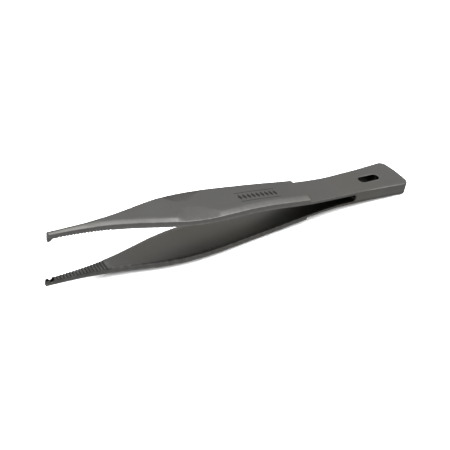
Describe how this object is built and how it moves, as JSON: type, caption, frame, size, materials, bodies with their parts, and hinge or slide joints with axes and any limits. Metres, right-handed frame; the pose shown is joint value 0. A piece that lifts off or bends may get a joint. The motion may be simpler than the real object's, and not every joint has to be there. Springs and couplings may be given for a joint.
{
  "type": "precision tweezers",
  "caption": "Flat steel spring tweezers with broad bevelled grips, slender serrated jaws, interlocking tip teeth and a hanging slot in the butt.",
  "frame": {"origin": "centre of the tool: halfway along its length, on its long centre line, on the middle plane between the two arms, with the arms open at rest", "axes": "+X from the tips towards the butt, +Z from the middle plane towards the upper arm's outer face, +Y across the width so that the frame is right-handed"},
  "size_m": [0.12, 0.0138, 0.0178],
  "materials": {
    "arm_steel": "satin, fine blasted, dark grey",
    "spacer_steel": "satin, ground flush"
  },
  "bodies": {
    "butt": {"butt_spacer": "spacer_steel", "upper_butt_leaf": "arm_steel", "lower_butt_leaf": "arm_steel"},
    "upper_arm": {"upper_arm": "arm_steel"},
    "lower_arm": {"lower_arm": "arm_steel"}
  },
  "joints": [
    {"name": "upper_arm_flex", "type": "hinge", "parent": "butt", "child": "upper_arm", "pos_m": [0.033, 0, 0.0016], "axis": [0, -1, 0], "range_deg": [0, 4.15], "stiffness_Nm_per_rad": 6},
    {"name": "lower_arm_flex", "type": "hinge", "parent": "butt", "child": "lower_arm", "pos_m": [0.033, 0, -0.0016], "axis": [0, 1, 0], "range_deg": [0, 4.15], "stiffness_Nm_per_rad": 6}
  ]
}
